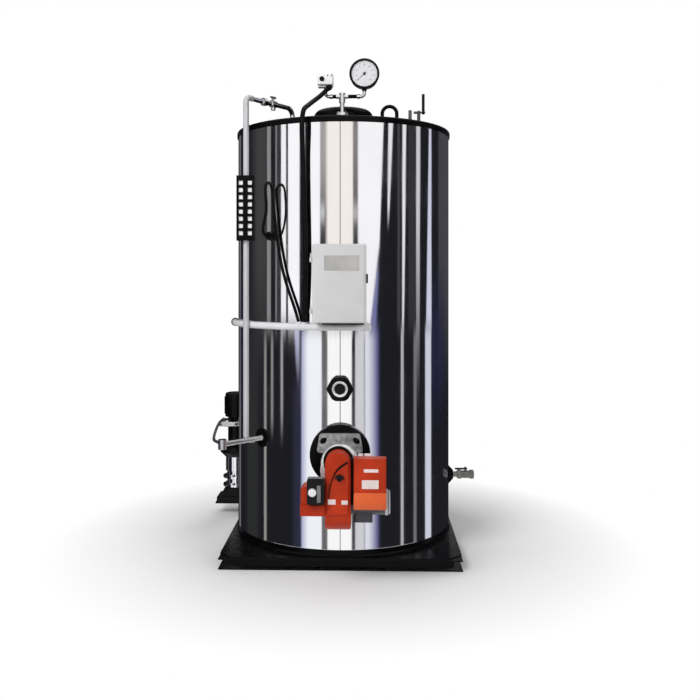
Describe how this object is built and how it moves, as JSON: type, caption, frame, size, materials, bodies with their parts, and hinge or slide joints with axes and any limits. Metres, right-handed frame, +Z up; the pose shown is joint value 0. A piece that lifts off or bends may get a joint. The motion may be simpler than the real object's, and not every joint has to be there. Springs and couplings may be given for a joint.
{
  "type": "industrial boiler",
  "caption": "Upright steam boiler on a square base, with a burner and control box in front, level and pressure gauges, a feed pump, a vent valve and a drain valve.",
  "frame": {"origin": "on the boiler's vertical axis, at the floor under the base", "axes": "+Z up along the boiler's axis, -Y towards the front with the burner, +X towards the drain valve"},
  "size_m": [1.378, 1.421, 2.358],
  "materials": {
    "black_enamel": "gloss",
    "polished_steel": "mirror polished",
    "bright_steel": "satin",
    "gauge_black": "satin",
    "white_plastic": "matte",
    "cable_black": "matte",
    "black_plastic": "satin",
    "grey_paint": "semi-gloss",
    "dark_glass": "clear",
    "cast_aluminium": "as cast",
    "burner_red": "semi-gloss",
    "motor_grey": "satin",
    "pump_black": "satin"
  },
  "bodies": {
    "boiler": {"base_channel_front": "black_enamel", "base_channel_left": "black_enamel", "base_channel_rear": "black_enamel", "base_channel_right": "black_enamel", "base_cross_member": "black_enamel", "base_plate": "black_enamel", "base_ring": "black_enamel", "burner_air_intake": "burner_red", "burner_casing": "burner_red", "burner_collar": "bright_steel", "burner_control_cover": "burner_red", "burner_flange": "cast_aluminium", "burner_motor": "motor_grey", "burner_mount_plate": "black_enamel", "burner_rear_plate": "black_enamel", "burner_servo": "black_plastic", "cable_trunking": "grey_paint", "control_box_body": "grey_paint", "control_box_hinges": "bright_steel", "control_box_rails": "bright_steel", "drain_boss": "black_enamel", "drain_valve": "bright_steel", "feed_boss": "black_enamel", "feed_hose": "bright_steel", "feed_pipe": "bright_steel", "flue_hood": "black_enamel", "gauge_header": "bright_steel", "jacket_left": "polished_steel", "jacket_right": "polished_steel", "level_cock": "bright_steel", "level_crossover": "bright_steel", "level_guard": "black_enamel", "level_pipe": "bright_steel", "lifting_lug_front": "black_enamel", "lifting_lug_rear": "black_enamel", "pressure_gauge": "gauge_black", "pressure_switch": "white_plastic", "probe_cable": "cable_black", "probe_gland": "black_plastic", "pump_column": "bright_steel", "pump_foot": "pump_black", "pump_head": "pump_black", "pump_inlet": "bright_steel", "pump_motor": "pump_black", "pump_shelf": "black_enamel", "sight_port_body": "black_enamel", "sight_port_glass": "dark_glass", "steam_branch": "bright_steel", "switch_cable": "cable_black", "top_plate": "black_enamel", "top_ring": "black_enamel", "vent_stub": "bright_steel", "vent_valve_body": "bright_steel"},
    "control_door": {"control_box_door": "grey_paint", "door_latch": "black_plastic"},
    "vent_lever": {"vent_valve_lever": "black_plastic"},
    "cock_handle": {"level_cock_handle": "black_plastic"},
    "drain_lever": {"drain_valve_lever": "black_plastic"}
  },
  "joints": [
    {"name": "control_door_hinge", "type": "hinge", "parent": "boiler", "child": "control_door", "pos_m": [-0.1245, -0.64, 1.2805], "axis": [0, 0, -1], "range_deg": [0, 110]},
    {"name": "vent_lever_turn", "type": "hinge", "parent": "boiler", "child": "vent_lever", "pos_m": [0.3875, -0.26591, 2.093], "axis": [1, 0, 0], "range_deg": [0, 90]},
    {"name": "cock_handle_turn", "type": "hinge", "parent": "boiler", "child": "cock_handle", "pos_m": [-0.33683, -0.1957, 2.181], "axis": [0, 0, 1], "range_deg": [0, 90]},
    {"name": "drain_lever_turn", "type": "hinge", "parent": "boiler", "child": "drain_lever", "pos_m": [0.617, 0, 0.34], "axis": [0, 0, 1], "range_deg": [0, 90]}
  ]
}
